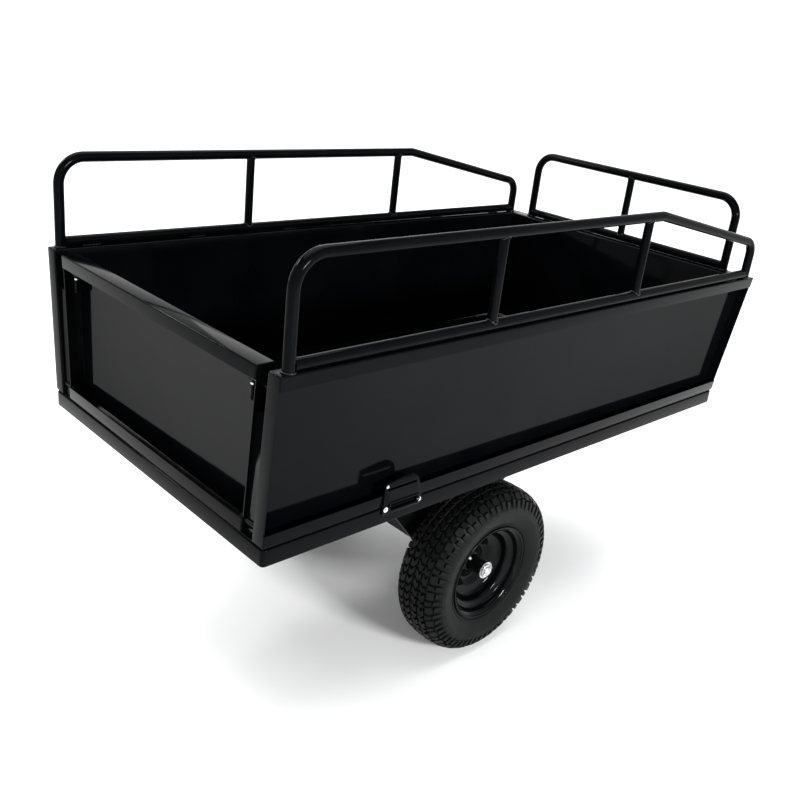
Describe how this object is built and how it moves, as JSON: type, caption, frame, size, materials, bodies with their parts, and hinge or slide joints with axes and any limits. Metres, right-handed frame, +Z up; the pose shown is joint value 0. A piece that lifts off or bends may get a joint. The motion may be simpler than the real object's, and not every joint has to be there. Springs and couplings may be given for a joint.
{
  "type": "tow behind cart",
  "caption": "Tow-behind tipping cart: folded-sheet tub with tube rails on three sides, drop tailgate, axle chassis with pneumatic wheels, drawbar and clevis hitch.",
  "frame": {"origin": "on the ground, below the middle of the whole cart's length and width", "axes": "+X forward towards the hitch, +Y to the cart's left, +Z up"},
  "size_m": [2.225, 0.832, 1.012],
  "materials": {
    "gloss_black_paint": "gloss",
    "chassis_paint": "satin",
    "rim_paint": "gloss",
    "tyre_rubber": "matte",
    "zinc_plate": "bright zinc plate"
  },
  "bodies": {
    "chassis": {"right_chassis_rail": "chassis_paint", "left_chassis_rail": "chassis_paint", "right_pivot_bolt": "zinc_plate", "left_pivot_bolt": "zinc_plate", "rear_cross_member": "chassis_paint", "front_cross_member": "chassis_paint", "axle_beam": "chassis_paint", "right_stub_axle": "zinc_plate", "left_stub_axle": "zinc_plate", "right_axle_washer": "zinc_plate", "left_axle_washer": "zinc_plate", "right_axle_plate": "chassis_paint", "left_axle_plate": "chassis_paint", "drawbar": "chassis_paint", "hitch_clevis": "chassis_paint", "latch_bracket": "chassis_paint", "latch_bolt": "zinc_plate"},
    "tub": {"right_frame_rail": "gloss_black_paint", "left_frame_rail": "gloss_black_paint", "rear_frame_rail": "gloss_black_paint", "front_frame_rail": "gloss_black_paint", "floor_cross_member_1": "chassis_paint", "floor_cross_member_2": "chassis_paint", "floor_sheet": "gloss_black_paint", "right_side_pan": "gloss_black_paint", "left_side_pan": "gloss_black_paint", "front_pan": "gloss_black_paint", "right_corner_angle": "gloss_black_paint", "left_corner_angle": "gloss_black_paint", "right_tailgate_pivot_pin": "gloss_black_paint", "left_tailgate_pivot_pin": "gloss_black_paint", "right_rail_hoop": "gloss_black_paint", "left_rail_hoop": "gloss_black_paint", "right_rail_bottom_bar": "gloss_black_paint", "left_rail_bottom_bar": "gloss_black_paint", "right_rail_upright_1": "gloss_black_paint", "left_rail_upright_1": "gloss_black_paint", "right_rail_upright_2": "gloss_black_paint", "left_rail_upright_2": "gloss_black_paint", "front_rail_hoop": "gloss_black_paint", "front_rail_bottom_bar": "gloss_black_paint", "front_rail_upright": "gloss_black_paint", "right_side_bracket": "gloss_black_paint", "left_side_bracket": "gloss_black_paint", "right_pivot_lug": "chassis_paint", "left_pivot_lug": "chassis_paint", "latch_striker": "chassis_paint"},
    "tailgate": {"tailgate": "gloss_black_paint"},
    "right_latch": {"right_latch_pin": "gloss_black_paint"},
    "left_latch": {"left_latch_pin": "gloss_black_paint"},
    "right_wheel": {"right_tyre": "tyre_rubber", "right_rim": "rim_paint", "right_hub": "rim_paint"},
    "left_wheel": {"left_tyre": "tyre_rubber", "left_rim": "rim_paint", "left_hub": "rim_paint"},
    "tip_latch": {"tip_latch_lever": "chassis_paint"},
    "drawbar_pin": {"hitch_pin": "zinc_plate"}
  },
  "joints": [
    {"name": "tub_tip", "type": "hinge", "parent": "chassis", "child": "tub", "pos_m": [-0.7855, 0, 0.4377], "axis": [0, -1, 0], "range_deg": [0, 45]},
    {"name": "tailgate_drop", "type": "hinge", "parent": "tub", "child": "tailgate", "pos_m": [-1.1035, 0, 0.521], "axis": [0, -1, 0], "range_deg": [0, 90]},
    {"name": "right_latch_slide", "type": "slide", "parent": "tailgate", "child": "right_latch", "axis": [0, 1, 0], "range_m": [0, 0.02]},
    {"name": "left_latch_slide", "type": "slide", "parent": "tailgate", "child": "left_latch", "axis": [0, -1, 0], "range_m": [0, 0.02]},
    {"name": "right_wheel_spin", "type": "hinge", "parent": "chassis", "child": "right_wheel", "pos_m": [-0.4605, -0.333, 0.203], "axis": [0, 1, 0], "continuous": true},
    {"name": "left_wheel_spin", "type": "hinge", "parent": "chassis", "child": "left_wheel", "pos_m": [-0.4605, 0.333, 0.203], "axis": [0, 1, 0], "continuous": true},
    {"name": "tip_latch_turn", "type": "hinge", "parent": "chassis", "child": "tip_latch", "pos_m": [0.4375, 0, 0.4434], "axis": [0, 1, 0], "range_deg": [0, 25], "stiffness_Nm_per_rad": 1, "springref_deg": -17.19},
    {"name": "hitch_pin_lift", "type": "slide", "parent": "chassis", "child": "drawbar_pin", "axis": [0, 0, 1], "range_m": [0, 0.08]}
  ]
}
